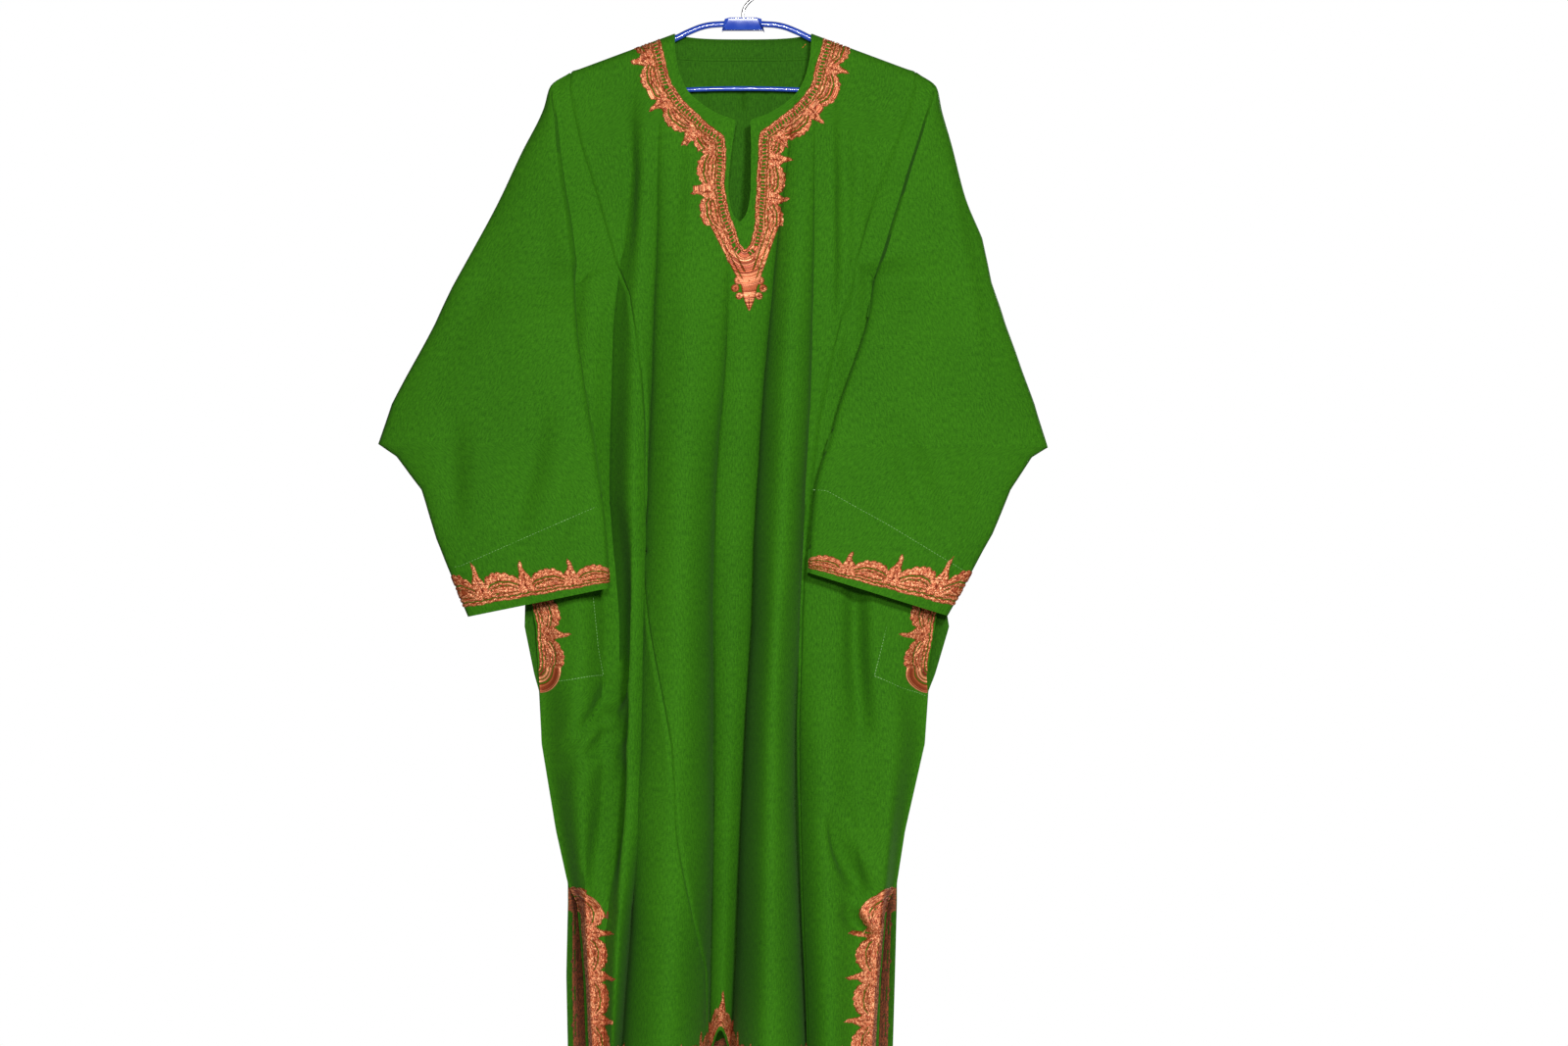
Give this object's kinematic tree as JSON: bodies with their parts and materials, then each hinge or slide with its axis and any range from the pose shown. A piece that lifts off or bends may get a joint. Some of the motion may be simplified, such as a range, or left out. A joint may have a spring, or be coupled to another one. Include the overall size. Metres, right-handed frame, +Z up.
{
  "type": "pheran robe on a plain hanger",
  "caption": "Long loose Kashmiri robe with straight sleeves, round slit neck, metallic embroidery and side slits, hung from a plain hanger.",
  "frame": {"origin": "highest point inside the hanger's hook, where the rail bears", "axes": "+Z up, -Y out of the front of the robe, +X towards the side of the left sleeve of its wearer"},
  "size_m": [0.742, 0.168, 1.2346],
  "materials": {
    "cloth": "matt worsted weave",
    "pocketing": "plain lining weave",
    "hanger_blue": "gloss",
    "hook_steel": "bright wire"
  },
  "bodies": {
    "root": {"front_panel": "cloth", "back_panel": "cloth", "gore_front_right": "cloth", "gore_front_left": "cloth", "gore_back_right": "cloth", "gore_back_left": "cloth", "sleeve_right_front": "cloth", "sleeve_right_back": "cloth", "sleeve_left_front": "cloth", "sleeve_left_back": "cloth", "neck_facing": "cloth", "pocket_bag_right": "pocketing", "pocket_bag_left": "pocketing", "hanger_arm_right": "hanger_blue", "hanger_arm_left": "hanger_blue", "hanger_bar": "hanger_blue", "hanger_boss": "hanger_blue", "hanger_hook": "hook_steel"}
  },
  "joints": []
}
